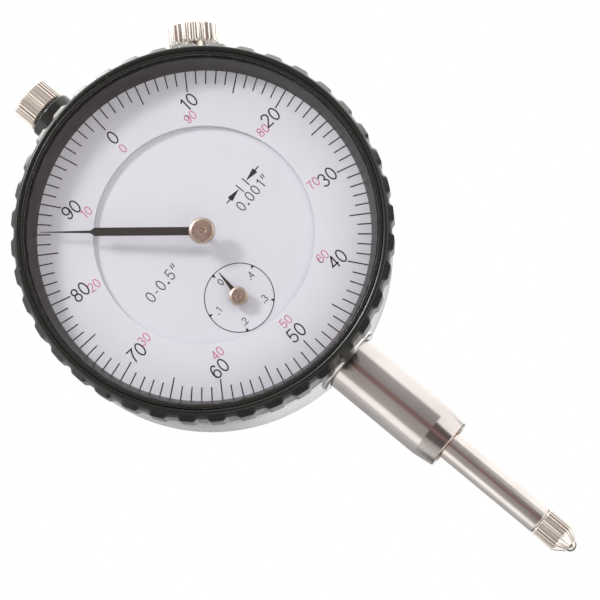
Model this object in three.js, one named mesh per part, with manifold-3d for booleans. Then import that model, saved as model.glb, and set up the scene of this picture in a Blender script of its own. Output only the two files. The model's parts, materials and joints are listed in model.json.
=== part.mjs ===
// Plunger dial indicator, 0-0.5 inch travel, 0.001 inch graduations, lug back.
// Millimetres. +Z runs up the spindle towards the lifting cap, the dial faces -Y, +X is to the
// reader's right. The origin is on the spindle axis, at the middle of the stem's clamping length.
import * as THREE from 'three';
import { mergeVertices } from 'three/addons/utils/BufferGeometryUtils.js';
import Module from 'manifold-3d';

const wasm = await Module();
wasm.setup();

// Everything below is laid out from the centre of the dial, which is this far above the origin.
const DIAL_Z = 38.5;

// Spindle, stem and contact
const STEM_R = 4.7625;
const STEM_TOP = -24.8;
const STEM_TAPER = -47.3;
const STEM_END = -50.9;
const STEM_END_R = 4.25;
const SPINDLE_R = 2.375;
const SPINDLE_END = -70.15;
const CAP_R = 3.7;
const CAP_BOTTOM = 35.4;
const CAP_TOP = 39.6;
const BUSH_R = 4.05;
const BUSH_TOP = 35.2;

// Case, bezel, crystal and dial
const CASE_R = 29.8;
const BUMPS = 40;
const BUMP_CREST_R = 30.6;
const BUMP_ROOT_R = 30.15;
const CRYSTAL_SEEN_R = 28;
const DIAL_EDGE_R = 27;
const DIAL_SPLIT_R = 17.8;
const DIAL_Y = -11.4;
const INNER_DIAL_Y = -10.55;
const INNER_DIAL_BACK = -10.15;

// Gear train. One inch holds 32 rack teeth, so a 16 tooth pinion turns once in the 12.7 mm travel.
const RACK_PITCH = 25.4 / 32;
const RACK_TEETH = 16;
const RACK_MODULE = RACK_PITCH / Math.PI;
const PINION_PITCH_R = RACK_TEETH * RACK_MODULE / 2;
const WHEEL_TEETH = 60;
const CENTRE_TEETH = 12;
const RACK_ARBOR = [-4.1, -10.9];
const TRAIN_DISTANCE = Math.hypot(RACK_ARBOR[0], RACK_ARBOR[1]);
const TRAIN_MODULE = 2 * TRAIN_DISTANCE / (WHEEL_TEETH + CENTRE_TEETH);
const TAKEUP_ANGLE = Math.atan2(10, 6);
const TAKEUP_ARBOR = [TRAIN_DISTANCE * Math.cos(TAKEUP_ANGLE), TRAIN_DISTANCE * Math.sin(TAKEUP_ANGLE)];
const PRESSURE = Math.PI / 9;
const BACKLASH = 0.12;
const WHEEL_BACK = -5.4;
const WHEEL_FRONT = -6.2;

// Plates of the movement, as Y of the front face and Y of the back face
const PLATE = [-4, -3];
const BRIDGE = [-8.2, -7.4];
const COCK = [2.2, 3];
const PILLARS = [[-13, -2], [10, -7], [-6, 13.2]];
const COCK_LEGS = [[-11.5, -4.5], [-11.2, -16.2]];
const LEDGE_SCREW_R = 23.7;

// Spindle guide and return spring
const PIN_Z = -3;
const PIN_R = 0.8;
const TRACK_X = [4.2, 5.8];
const SPRING_X = 8.8;
const SPRING_POST_Z = -19.4;

// Bezel clamp, on a radius 45 degrees clockwise from up
const CLAMP_TURN = Math.PI / 4;

const nickel = { color: 0xcfc6bb, roughness: 0.28, metalness: 1 };
const satin = { color: 0xb9b4b1, roughness: 0.38, metalness: 1 };
const brass = { color: 0xc9a45c, roughness: 0.35, metalness: 1 };
const steel = { color: 0xa8a8ab, roughness: 0.4, metalness: 1 };
const blued = { color: 0x3a4257, roughness: 0.35, metalness: 0.9 };
const casting = { color: 0xb4b5b6, roughness: 0.45, metalness: 0.8 };
const black = { color: 0x1b1c1b, roughness: 0.25, metalness: 0 };
const white = { color: 0xe9e8ef, roughness: 0.55, metalness: 0 };
const rubber = { color: 0x161616, roughness: 0.8, metalness: 0 };
const clear = { color: 0xf2f6f6, roughness: 0.04, metalness: 0, transparent: true, opacity: 0.25 };

const indicator = new THREE.Group();
const layout = new THREE.Group();
layout.position.z = DIAL_Z;
indicator.add(layout);

function add(name, geometry, look) {
  const mesh = new THREE.Mesh(geometry, new THREE.MeshStandardMaterial(look));
  mesh.name = name;
  layout.add(mesh);
}

// Closes a geometry: shared vertices, no slivers of zero area, faces pointing out.
function closed(geometry) {
  geometry.deleteAttribute('normal');
  geometry.deleteAttribute('uv');
  const merged = mergeVertices(geometry, 1e-5);
  const from = merged.index.array;
  const p = merged.attributes.position;
  const kept = [];
  let volume = 0;
  const [a, b, c] = [0, 1, 2].map(() => new THREE.Vector3());
  for (let i = 0; i < from.length; i += 3) {
    const [u, v, w] = [from[i], from[i + 1], from[i + 2]];
    if (u === v || v === w || w === u) continue;
    kept.push(u, v, w);
    a.fromBufferAttribute(p, u);
    b.fromBufferAttribute(p, v);
    c.fromBufferAttribute(p, w);
    volume += a.dot(b.cross(c));
  }
  if (volume < 0) {
    for (let i = 0; i < kept.length; i += 3) [kept[i], kept[i + 1]] = [kept[i + 1], kept[i]];
  }
  merged.setIndex(kept);
  return merged;
}

function toManifold(geometry) {
  const vertProperties = Float32Array.from(geometry.attributes.position.array);
  const triVerts = Uint32Array.from(geometry.index.array);
  return new wasm.Manifold(new wasm.Mesh({ numProp: 3, vertProperties, triVerts }));
}

function fromManifold(body) {
  const mesh = body.getMesh();
  const geometry = new THREE.BufferGeometry();
  geometry.setAttribute('position', new THREE.Float32BufferAttribute(mesh.vertProperties, 3));
  geometry.setIndex(Array.from(mesh.triVerts));
  return geometry;
}

function combine(how, first, ...others) {
  let body = toManifold(first);
  for (const other of others) body = body[how](toManifold(other));
  return fromManifold(body);
}

const cut = (first, ...others) => combine('subtract', first, ...others);
const join = (first, ...others) => combine('add', first, ...others);

// A turned solid about the Y axis from [radius, y] points. A profile that does not touch the axis
// at both ends is closed on itself.
function turnedY(points, segments = 60) {
  const profile = points.map(([r, y]) => new THREE.Vector2(r, y));
  const open = points[0][0] > 0 || points[points.length - 1][0] > 0;
  if (open) profile.push(profile[0].clone());
  return closed(new THREE.LatheGeometry(profile, segments));
}

// The same about the Z axis, from [radius, z] points.
function turnedZ(points, segments = 24) {
  return turnedY(points, segments).rotateX(Math.PI / 2);
}

// A rod along Y at (x, z), from y0 to y1.
function rodY(x, z, radius, y0, y1, segments = 16) {
  return turnedY([[0, y0], [radius, y0], [radius, y1], [0, y1]], segments).translate(x, 0, z);
}

function rodZ(radius, z0, z1, segments = 24) {
  return turnedZ([[0, z0], [radius, z0], [radius, z1], [0, z1]], segments);
}

function block(x, y, z) {
  const box = new THREE.BoxGeometry(x[1] - x[0], y[1] - y[0], z[1] - z[0]);
  return closed(box).translate((x[0] + x[1]) / 2, (y[0] + y[1]) / 2, (z[0] + z[1]) / 2);
}

// A flat plate parallel to the dial, from an outline in (x, z) and round holes [x, z, radius].
function flat(outline, front, back, holes = [], holeSegments = 12) {
  const shape = new THREE.Shape(outline.map(([x, z]) => new THREE.Vector2(x, z)));
  for (const [x, z, r] of holes) {
    const ring = circle(x, z, r, holeSegments).map(([u, v]) => new THREE.Vector2(u, v));
    shape.holes.push(new THREE.Path(ring.reverse()));
  }
  const solid = new THREE.ExtrudeGeometry(shape, { depth: back - front, bevelEnabled: false });
  return closed(solid).rotateX(Math.PI / 2).translate(0, back, 0);
}

function circle(x, z, r, segments, from = 0) {
  return Array.from({ length: segments }, (_, i) => {
    const t = from + (2 * Math.PI * i) / segments;
    return [x + r * Math.cos(t), z + r * Math.sin(t)];
  });
}

// The convex outline around a set of discs [x, z, radius].
function hull(discs, segments = 14) {
  const points = discs.flatMap(([x, z, r]) => circle(x, z, r, segments));
  points.sort((p, q) => p[0] - q[0] || p[1] - q[1]);
  const turn = (o, p, q) => (p[0] - o[0]) * (q[1] - o[1]) - (p[1] - o[1]) * (q[0] - o[0]);
  const half = (list) => {
    const chain = [];
    for (const q of list) {
      while (chain.length > 1 && turn(chain.at(-2), chain.at(-1), q) <= 1e-9) chain.pop();
      chain.push(q);
    }
    return chain.slice(0, -1);
  };
  return [...half(points), ...half([...points].reverse())];
}

// Involute outline of a gear centred at (x, z), with a tooth at the angle first.
function gearOutline(x, z, teeth, module, first, radii) {
  const pitchR = teeth * module / 2;
  const baseR = pitchR * Math.cos(PRESSURE);
  const involute = (angle) => Math.tan(angle) - angle;
  const halfAt = (r) => {
    const angle = r > baseR ? Math.acos(baseR / r) : 0;
    return Math.PI / (2 * teeth) * (1 - BACKLASH) + involute(PRESSURE) - involute(angle);
  };
  const outline = [];
  for (let i = 0; i < teeth; i += 1) {
    const middle = first + (2 * Math.PI * i) / teeth;
    for (const r of radii) outline.push([r, middle - halfAt(r)]);
    for (const r of [...radii].reverse()) outline.push([r, middle + halfAt(r)]);
  }
  return outline.map(([r, t]) => [x + r * Math.cos(t), z + r * Math.sin(t)]);
}

// A straight knurl: a turned solid whose vertices at the knurl radius dip on every second line.
function knurledZ(points, ridges, knurlR, depth) {
  const solid = turnedZ(points, ridges * 2);
  const p = solid.attributes.position;
  for (let i = 0; i < p.count; i += 1) {
    const r = Math.hypot(p.getX(i), p.getY(i));
    if (Math.abs(r - knurlR) > 1e-3) continue;
    const line = Math.round(Math.atan2(p.getY(i), p.getX(i)) / (Math.PI / ridges));
    const scale = line % 2 ? (knurlR - depth) / knurlR : 1;
    p.setX(i, p.getX(i) * scale);
    p.setY(i, p.getY(i) * scale);
  }
  return solid;
}

// A slotted cheese-head screw with its axis along Y. The head lies from face towards outward.
function slottedScrew(x, z, headR, face, outward, headHeight, shankR, shankEnd) {
  const top = face + outward * headHeight;
  const head = rodY(0, 0, headR, Math.min(face, top), Math.max(face, top), 12);
  const shank = rodY(0, 0, shankR, Math.min(shankEnd, top - outward * 0.1), Math.max(shankEnd, top - outward * 0.1), 8);
  const slotDepth = headHeight * 0.45;
  const slotY = [top - outward * slotDepth, top + outward].sort((a, b) => a - b);
  const slot = block([-0.16, 0.16], slotY, [-headR - 1, headR + 1]);
  return cut(join(head, shank), slot).translate(x, 0, z);
}

// ---- Case -----------------------------------------------------------------------------------

function caseBody() {
  const shell = turnedY([
    [25, -9.7], [26.3, -9.7], [26.3, -8.65], [25.95, -8.65], [25.95, -7.85], [26.3, -7.85],
    [26.3, -6.6], [CASE_R - 0.4, -6.6], [CASE_R, -6.2], [CASE_R, 7], [CASE_R - 1, 8], [24.9, 8],
    [24.9, -1.2], [22.8, -1.2], [22.8, -3], [25, -3],
  ], 60);
  const stemBoss = rodZ(6, -30, -26, 24);
  const bushBoss = rodZ(5.6, 26, 30.6, 24);
  // The clamp tab lies in a flat-bottomed pocket that is open to the front.
  const clampPocket = block([-3.6, 3.6], [-7, 3.6], [28.35, 31]).rotateY(CLAMP_TURN);
  const stemHole = rodZ(STEM_R + 0.08, -31, -21, 24);
  const bushHole = rodZ(BUSH_R + 0.08, 21, 31, 24);
  const clampHole = rodZ(1.4, 20, 31, 12).rotateY(CLAMP_TURN);
  const body = join(shell, stemBoss, bushBoss);
  const coverHoles = coverScrewPlaces().map(([x, z]) => rodY(x, z, 0.75, 3.5, 9, 8));
  const ledgeHoles = ledgeScrewPlaces().map(([x, z]) => rodY(x, z, 0.7, -4, -0.5, 8));
  return cut(body, clampPocket, stemHole, bushHole, clampHole, ...coverHoles, ...ledgeHoles);
}

function coverScrewPlaces() {
  return [1, 3, 5, 7].map((k) => [25.9 * Math.cos(k * Math.PI / 4), 25.9 * Math.sin(k * Math.PI / 4)]);
}

function ledgeScrewPlaces() {
  return [0.1, 2.2, 3.75].map((t) => [LEDGE_SCREW_R * Math.cos(t), LEDGE_SCREW_R * Math.sin(t)]);
}

// Back cover with the lug cast on it: a 1/4 inch thick ear with a 1/4 inch hole across it.
const LUG_HALF = 3.175;
const LUG_HOLE_Y = 17.4;
const LUG_R = 7.9;

function lugBackCover() {
  const disc = turnedY([[0, 8], [27.9, 8], [28.4, 8.4], [28.4, 9], [28, 9.4], [0, 9.4]], 60);
  const ear = new THREE.Shape();
  ear.moveTo(9, -LUG_R);
  ear.lineTo(LUG_HOLE_Y, -LUG_R);
  ear.absarc(LUG_HOLE_Y, 0, LUG_R, -Math.PI / 2, Math.PI / 2, false);
  ear.lineTo(9, LUG_R);
  const extrude = new THREE.ExtrudeGeometry(ear, { depth: 2 * LUG_HALF, bevelEnabled: false, curveSegments: 16 });
  // The outline is drawn in (y, z) and thickened along x.
  const basis = new THREE.Matrix4().makeBasis(
    new THREE.Vector3(0, 1, 0), new THREE.Vector3(0, 0, 1), new THREE.Vector3(1, 0, 0));
  const lug = closed(extrude).applyMatrix4(basis).translate(-LUG_HALF, 0, 0);
  const hole = rodZ(3.175, -8, 8, 24).rotateY(Math.PI / 2).translate(0, LUG_HOLE_Y, 0);
  const screwHoles = coverScrewPlaces().map(([x, z]) => rodY(x, z, 0.8, 7, 10, 8));
  return cut(join(disc, lug), hole, ...screwHoles);
}

function stem() {
  return turnedZ([
    [2.75, STEM_TOP], [STEM_R, STEM_TOP], [STEM_R, STEM_TAPER], [STEM_END_R, STEM_END],
    [3.32, STEM_END], [3.32, -44.9], [2.75, -44.9],
  ], 24);
}

function stemBush() {
  return turnedZ([[2.46, -50.95], [3.25, -50.95], [3.25, -45], [2.46, -45]], 24);
}

function upperBush() {
  return turnedZ([
    [2.5, 24.8], [BUSH_R, 24.8], [BUSH_R, BUSH_TOP - 0.3], [BUSH_R - 0.3, BUSH_TOP], [2.5, BUSH_TOP],
  ], 24);
}

// Wire ring in the groove of the case collar. It is open by a few degrees so that it can be sprung.
function bezelSnapRing() {
  const gap = 0.12;
  const arc = new THREE.CatmullRomCurve3(Array.from({ length: 41 }, (_, i) => {
    const t = gap + (2 * Math.PI - 2 * gap) * (i / 40);
    return new THREE.Vector3(26.3 * Math.sin(t), -8.25, 26.3 * Math.cos(t));
  }));
  return wire(arc, 0.27, 40, 4);
}

function wire(curve, radius, steps, sides) {
  const section = new THREE.Shape(circle(0, 0, radius, sides).map(([u, v]) => new THREE.Vector2(u, v)));
  return closed(new THREE.ExtrudeGeometry(section, { steps, bevelEnabled: false, extrudePath: curve }));
}

// ---- Bezel, crystal and dial ring -----------------------------------------------------------

function bezelRing() {
  const body = turnedY([
    [26.35, -6.9], [28.4, -6.9], [28.4, -9.3], [29.75, -9.6], [29.75, -15.8], [29.5, -16.4],
    [29.1, -16.85], [28.75, -16.6], [28.75, DIAL_Y], [DIAL_EDGE_R + 0.1, DIAL_Y],
    [DIAL_EDGE_R + 0.1, -10.9], [25.4, -10.9], [25.4, -10.1], [26.75, -10.1], [26.75, -7.7],
  ], 60);
  const bumps = turnedY([[29.2, -9.5], [BUMP_CREST_R, -9.5], [BUMP_CREST_R, -15.2], [29.2, -16.1]], BUMPS * 3);
  const p = bumps.attributes.position;
  const step = (2 * Math.PI) / (3 * BUMPS);
  // Three lines to each bump: two carry its crest and the third lies in the hollow.
  for (let i = 0; i < p.count; i += 1) {
    const r = Math.hypot(p.getX(i), p.getZ(i));
    const turn = Math.atan2(p.getX(i), p.getZ(i));
    const line = ((Math.round(turn / step) % 3) + 3) % 3;
    if (r < 30 || line !== 2) continue;
    p.setX(i, BUMP_ROOT_R * Math.sin(turn));
    p.setZ(i, BUMP_ROOT_R * Math.cos(turn));
  }
  return join(body, bumps);
}

function reflectorRing() {
  return turnedY([
    [26.85, DIAL_Y], [28.65, DIAL_Y], [28.65, -15.2], [CRYSTAL_SEEN_R, -15.2], [27.3, -13.2],
  ], 48);
}

const crystalGasket = () => turnedY([[27.95, -15.5], [28.65, -15.5], [28.65, -15.2], [27.95, -15.2]], 48);
const crystal = () => turnedY([[0, -16.3], [28.65, -16.3], [28.65, -15.5], [0, -15.5]], 48);
const crystalRetainer = () => turnedY([[CRYSTAL_SEEN_R, -16.85], [28.6, -16.85], [28.6, -16.3], [CRYSTAL_SEEN_R, -16.3]], 48);
const dialRing = () => turnedY([
  [DIAL_SPLIT_R, DIAL_Y], [DIAL_EDGE_R, DIAL_Y], [DIAL_EDGE_R, -10.9], [25.2, -10.9], [25.2, -10.62],
  [DIAL_SPLIT_R, -10.62],
], 48);

// ---- Fixed inner dial -----------------------------------------------------------------------

const DIAL_FEET = [[-11, 7.5], [12, -11]];

function innerDial() {
  const edge = circle(0, 0, DIAL_SPLIT_R + 0.5, 48);
  return flat(edge, INNER_DIAL_Y, INNER_DIAL_BACK, [[0, 0, 0.8], [...RACK_ARBOR, 0.8]], 12);
}

// ---- Movement plates ------------------------------------------------------------------------

const TRACK_SCREWS = [[5, -9], [5, 15.7]];

function movementPlate() {
  const holes = [
    [0, 0, 0.45],
    [...RACK_ARBOR, 1],
    [...TAKEUP_ARBOR, 0.45],
    ...ledgeScrewPlaces().map(([x, z]) => [x, z, 0.75]),
    ...PILLARS.map(([x, z]) => [x, z, 0.9]),
    ...COCK_LEGS.map(([x, z]) => [x, z, 0.75]),
    ...TRACK_SCREWS.map(([x, z]) => [x, z, 0.65]),
    [SPRING_X, SPRING_POST_Z, 0.7],
    [HAIR_STUD[0], HAIR_STUD[1], 0.45],
    [-14, 11, 3.2],
    [16, 1.5, 3.2],
  ];
  return flat(circle(0, 0, 24.6, 48), PLATE[0], PLATE[1], holes, 8);
}

function frontBridge() {
  const discs = [...PILLARS.map(([x, z]) => [x, z, 2.6]), [...TAKEUP_ARBOR, 2.6], [...RACK_ARBOR, 2.8]];
  const holes = [
    [0, 0, 0.65], [...RACK_ARBOR, 0.65], [...TAKEUP_ARBOR, 0.42],
    ...PILLARS.map(([x, z]) => [x, z, 0.75]),
  ];
  const plate = flat(hull([...discs, ...DIAL_FEET.map(([x, z]) => [x, z, 1.8])]), BRIDGE[0], BRIDGE[1], holes, 10);
  return cut(plate, ...DIAL_FEET.map(([x, z]) => rodY(x, z, 0.9, -9, -7, 10)));
}

const dialFoot = ([x, z]) => rodY(x, z, 0.8, INNER_DIAL_BACK, BRIDGE[1], 10);

function pillar([x, z]) {
  return turnedY([
    [0, PLATE[1]], [0.8, PLATE[1]], [0.8, PLATE[0]], [1.5, PLATE[0]], [1.5, BRIDGE[1]],
    [0.68, BRIDGE[1]], [0.68, -5], [0, -5],
  ], 12).translate(x, 0, z);
}

function rearCock() {
  const plate = flat(hull([[...RACK_ARBOR, 2.2], ...COCK_LEGS.map(([x, z]) => [x, z, 2])], 12), COCK[0], COCK[1]);
  const legs = COCK_LEGS.map(([x, z]) => rodY(x, z, 1.9, PLATE[1], COCK[0] + 0.3, 12));
  const bores = COCK_LEGS.map(([x, z]) => rodY(x, z, 0.75, -4, 4, 10));
  const pivot = rodY(...RACK_ARBOR, 0.42, 1, 4, 10);
  return cut(join(plate, ...legs), ...bores, pivot);
}

// Slotted rail beside the spindle. The guide pin runs in it, so the spindle cannot turn.
function guideTrack() {
  const rail = block(TRACK_X, [PLATE[1], 2.2], [-7.2, 14]);
  const slot = block([3, 7], [-0.95, 0.95], [PIN_Z - 1.1, PIN_Z + 12.7 + 1.1]);
  const lowFoot = block([3.2, 6.8], [PLATE[1], -2], [-10.9, -7]);
  const highFoot = block([3.2, 6.8], [PLATE[1], -2], [13.8, 17.6]);
  const bores = TRACK_SCREWS.map(([x, z]) => rodY(x, z, 0.65, -4, 0, 10));
  return cut(join(rail, lowFoot, highFoot), slot, ...bores);
}

function springAnchorPost() {
  return turnedY([
    [0, -3.9], [0.6, -3.9], [0.6, 0.7], [0.95, 0.9], [0.95, 1.4], [0, 1.4],
  ], 12).translate(SPRING_X, 0, SPRING_POST_Z);
}

// Extension spring from the anchor post up to the guide pin, with an eye at each end.
function returnSpring() {
  const points = [];
  const eye = 8;
  for (let i = 0; i < eye; i += 1) {
    const t = -Math.PI * 0.35 - (1.6 * Math.PI * i) / (eye - 1);
    points.push(new THREE.Vector3(SPRING_X + 1.05 * Math.cos(t), 0, SPRING_POST_Z + 1.05 * Math.sin(t)));
  }
  const [low, high] = [-17.4, -5];
  const turns = 9;
  const perTurn = 8;
  for (let i = 0; i <= turns * perTurn; i += 1) {
    const t = (2 * Math.PI * i) / perTurn;
    const z = low + (high - low) * (i / (turns * perTurn));
    points.push(new THREE.Vector3(SPRING_X + 1.4 * Math.cos(t), 1.4 * Math.sin(t), z));
  }
  for (let i = 0; i < eye; i += 1) {
    const t = -Math.PI * 0.4 + (1.6 * Math.PI * i) / (eye - 1);
    points.push(new THREE.Vector3(SPRING_X, 1.15 * Math.cos(t), PIN_Z + 1.15 * Math.sin(t)));
  }
  return wire(new THREE.CatmullRomCurve3(points), 0.2, 96, 4);
}

// Flat spiral that keeps the train loaded to one side, with its outer end held in a stud.
const HAIR_Y = [-4.9, -4.45];
const HAIR_TURNS = 5;
const HAIR_R = [1.3, 5.6];
const HAIR_START = 2.4;
const HAIR_END = HAIR_START + 2 * Math.PI * HAIR_TURNS;
const HAIR_STUD = [
  TAKEUP_ARBOR[0] + (HAIR_R[1] + 0.62) * Math.cos(HAIR_END),
  TAKEUP_ARBOR[1] + (HAIR_R[1] + 0.62) * Math.sin(HAIR_END),
];

function hairspring() {
  const steps = HAIR_TURNS * 16;
  const edge = (offset) => Array.from({ length: steps + 1 }, (_, i) => {
    const t = HAIR_START + (HAIR_END - HAIR_START) * (i / steps);
    const r = HAIR_R[0] + (HAIR_R[1] - HAIR_R[0]) * (i / steps) + offset;
    return [TAKEUP_ARBOR[0] + r * Math.cos(t), TAKEUP_ARBOR[1] + r * Math.sin(t)];
  });
  return flat([...edge(0.07), ...edge(-0.07).reverse()], HAIR_Y[0], HAIR_Y[1]);
}

function hairspringStud() {
  return turnedY([
    [0, PLATE[1] - 0.1], [0.38, PLATE[1] - 0.1], [0.38, PLATE[0]], [0.5, PLATE[0]], [0.5, -5.2], [0, -5.2],
  ], 10).translate(HAIR_STUD[0], 0, HAIR_STUD[1]);
}

// ---- Spindle group --------------------------------------------------------------------------

// The rack is cut across the spindle's left side. A gap faces the pinion's axis at rest.
const RACK_LINE = RACK_ARBOR[0] + PINION_PITCH_R;
const RACK_TIP = RACK_LINE - 0.2;
const RACK_ROOT = RACK_LINE + 0.31;

function rackCutter() {
  const halfTooth = (RACK_PITCH / 4) * (1 - BACKLASH);
  const slope = Math.tan(PRESSURE);
  const outline = [];
  for (let k = 19; k >= -2; k -= 1) {
    const tooth = RACK_ARBOR[1] - (k - 0.5) * RACK_PITCH;
    const [atTip, atRoot] = [RACK_TIP, RACK_ROOT].map((x) => halfTooth + (x - RACK_LINE) * slope);
    if (k === 19) outline.push([-4, tooth - atTip], [RACK_TIP, tooth - atTip]);
    else outline.push([RACK_ROOT, tooth - atRoot], [RACK_TIP, tooth - atTip]);
    if (k === -2) outline.push([RACK_TIP, tooth + atTip], [-4, tooth + atTip]);
    else outline.push([RACK_TIP, tooth + atTip], [RACK_ROOT, tooth + atRoot]);
  }
  return flat(outline, -3, 3);
}

function spindle() {
  const rod = turnedZ([
    [0, -65.7], [1.3, -65.7], [1.3, SPINDLE_END], [2.2, SPINDLE_END], [SPINDLE_R, SPINDLE_END + 0.25],
    [SPINDLE_R, 35.35], [1.5, 35.35], [1.5, 38.4], [0, 38.4],
  ], 24);
  const pinHole = rodZ(PIN_R + 0.06, 0.2, 4, 12).rotateY(Math.PI / 2).translate(0, 0, PIN_Z);
  return cut(rod, rackCutter(), pinHole);
}

function liftingCap() {
  return knurledZ([
    [1.58, CAP_BOTTOM], [CAP_R, CAP_BOTTOM], [CAP_R, CAP_TOP - 0.3], [3.35, CAP_TOP], [0, CAP_TOP],
    [0, CAP_TOP - 1], [1.58, CAP_TOP - 1],
  ].reverse(), 36, CAP_R, 0.22);
}

function guidePin() {
  const pin = turnedZ([
    [0, 0.5], [PIN_R, 0.5], [PIN_R, 9.7], [1.15, 9.7], [1.15, 10.3], [0, 10.3],
  ], 12);
  return pin.rotateY(Math.PI / 2).translate(0, 0, PIN_Z);
}

function contactPoint() {
  const core = turnedZ([
    [0, -74.98], [1.07, -74.98], [1.07, -76.1], [1.25, -76.1], [2.3, -74.5], [2.3, -70.4],
    [1.2, -70.4], [1.2, -66], [0, -66],
  ], 16);
  const grip = knurledZ([[1.6, -74.35], [2.5, -74.35], [2.5, -70.25], [1.6, -70.25]], 28, 2.5, 0.16);
  return join(core, grip);
}

function contactBall() {
  const ball = new THREE.SphereGeometry(1.02, 14, 10);
  return closed(ball).rotateX(Math.PI / 2).translate(0, 0, -76.08);
}

// ---- Gear train -----------------------------------------------------------------------------

const TRAIN_ANGLE = Math.atan2(-RACK_ARBOR[1], -RACK_ARBOR[0]);
const WHEEL_PITCH_R = WHEEL_TEETH * TRAIN_MODULE / 2;
const CENTRE_PITCH_R = CENTRE_TEETH * TRAIN_MODULE / 2;
const WHEEL_RADII = [WHEEL_PITCH_R - 0.36, WHEEL_PITCH_R + 0.24];
const CENTRE_FIRST = TRAIN_ANGLE + Math.PI + Math.PI / CENTRE_TEETH;

function rackPinionArbor() {
  const radii = [PINION_PITCH_R - 0.3, PINION_PITCH_R - 0.05, PINION_PITCH_R + 0.22];
  const teeth = flat(gearOutline(0, 0, RACK_TEETH, RACK_MODULE, 0, radii), -1.6, 1.6);
  const arbor = turnedY([
    [0, -12.35], [0.5, -12.35], [0.5, -7], [0.6, -7], [0.6, 2.05], [0.3, 2.05], [0.3, 2.9], [0, 2.9],
  ], 12);
  return join(teeth, arbor).translate(RACK_ARBOR[0], 0, RACK_ARBOR[1]);
}

function wheel([x, z], first) {
  const windows = circle(x, z, 5.6, 5, first).map(([u, v]) => [u, v, 2.3]);
  const body = flat(gearOutline(x, z, WHEEL_TEETH, TRAIN_MODULE, first, WHEEL_RADII), WHEEL_FRONT, WHEEL_BACK, windows, 8);
  return cut(body, rodY(x, z, 0.66, -8, -4, 12));
}

function centrePinion() {
  const radii = [CENTRE_PITCH_R - 0.38, CENTRE_PITCH_R - 0.05, CENTRE_PITCH_R + 0.28];
  const teeth = flat(gearOutline(0, 0, CENTRE_TEETH, TRAIN_MODULE, CENTRE_FIRST, radii), -6.7, -4.7);
  const arbor = turnedY([
    [0, -14.75], [0.5, -14.75], [0.5, -7], [0.7, -7], [0.7, -4.2], [0.3, -4.2], [0.3, -3.05], [0, -3.05],
  ], 12);
  return join(teeth, arbor);
}

// The take-up wheel meets the centre pinion from above, so its first tooth gap is set by where the
// pinion's teeth stand on that side.
function takeupWheel() {
  const pitch = (2 * Math.PI) / CENTRE_TEETH;
  const offset = ((((CENTRE_FIRST - TAKEUP_ANGLE) % pitch) + pitch) % pitch);
  const gap = TAKEUP_ANGLE + Math.PI - offset * (CENTRE_TEETH / WHEEL_TEETH);
  return wheel(TAKEUP_ARBOR, gap + Math.PI / WHEEL_TEETH);
}

function takeupArbor() {
  return turnedY([
    [0, -8.1], [0.3, -8.1], [0.3, -7.2], [0.6, -7.2], [0.6, -4.15], [0.3, -4.15], [0.3, -3.05], [0, -3.05],
  ], 12).translate(TAKEUP_ARBOR[0], 0, TAKEUP_ARBOR[1]);
}

function hairspringCollet() {
  return turnedY([[0.66, -5.2], [1.15, -5.2], [1.15, -4.3], [0.66, -4.3]], 14)
    .translate(TAKEUP_ARBOR[0], 0, TAKEUP_ARBOR[1]);
}

// ---- Hands ----------------------------------------------------------------------------------

const HAND_TURN = 39.5 * Math.PI / 180;
const COUNTER_TURN = -10.4 * Math.PI / 180;
const HAND_LEAN = 0.055;

// A hand that points up before it is turned: a boss, a parallel blade and a fine tip.
function hand(boss, hole, profile, front, back) {
  const ring = circle(0, 0, boss, 20, Math.PI / 2).slice(1);
  const right = profile.map(([w, z]) => [w, z]);
  const left = [...profile].reverse().map(([w, z]) => [-w, z]);
  const around = ring.filter(([x, z]) => z < 0.3 * boss || Math.abs(x) > profile[0][0] + 0.05);
  return flat([...right, ...left, ...around.map(([x, z]) => [x, z])], front, back, [[0, 0, hole]], 12);
}

// The main hand leans towards the dial as it runs out, so its tip is close to the graduations.
function mainHand() {
  const blade = [[0.67, 1.6], [0.67, 17.3], [0.22, 18], [0.03, 26.2]];
  const plate = hand(1.9, 1, blade, -14.38, -14.23);
  const p = plate.attributes.position;
  for (let i = 0; i < p.count; i += 1) {
    p.setY(i, p.getY(i) + HAND_LEAN * Math.max(0, Math.hypot(p.getX(i), p.getZ(i)) - 2));
  }
  return plate.rotateY(-HAND_TURN);
}

function mainHandHub() {
  return turnedY([
    [0, -14.85], [0.45, -15.15], [1.85, -15.15], [2.125, -14.9], [2.125, -14.4], [0.94, -14.4],
    [0.94, -13.2], [0.55, -13.2], [0.55, -14.8], [0, -14.8],
  ], 20);
}

function counterHand() {
  const blade = [[0.38, 0.9], [0.15, 4], [0.05, 5]];
  const plate = hand(1.25, 0.9, blade, -11.93, -11.82).rotateY(-COUNTER_TURN);
  return plate.translate(RACK_ARBOR[0], 0, RACK_ARBOR[1]);
}

function counterHandHub() {
  return turnedY([
    [0, -12.45], [0.3, -12.6], [1.3, -12.6], [1.525, -12.4], [1.525, -11.95], [0.84, -11.95],
    [0.84, -11.2], [0.55, -11.2], [0.55, -12.4], [0, -12.4],
  ], 16).translate(RACK_ARBOR[0], 0, RACK_ARBOR[1]);
}

// ---- Bezel clamp ----------------------------------------------------------------------------

function clampTab() {
  const plate = block([-3.2, 3.2], [-8.8, 3.2], [28.7, 29.6]);
  return cut(plate, rodZ(1.35, 27, 31, 12)).rotateY(CLAMP_TURN);
}

function clampScrew() {
  const shank = turnedZ([[0, 24.6], [1.2, 24.6], [1.2, 29.65], [2, 29.65], [2, 34.6], [0, 34.6]], 16);
  const knob = knurledZ([[0, 33.9], [4.1, 33.9], [4.1, 37.1], [3.75, 37.4], [0, 37.4]], 28, 4.1, 0.3);
  return join(shank, knob).rotateY(CLAMP_TURN);
}

// ---- Assembly -------------------------------------------------------------------------------

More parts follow.
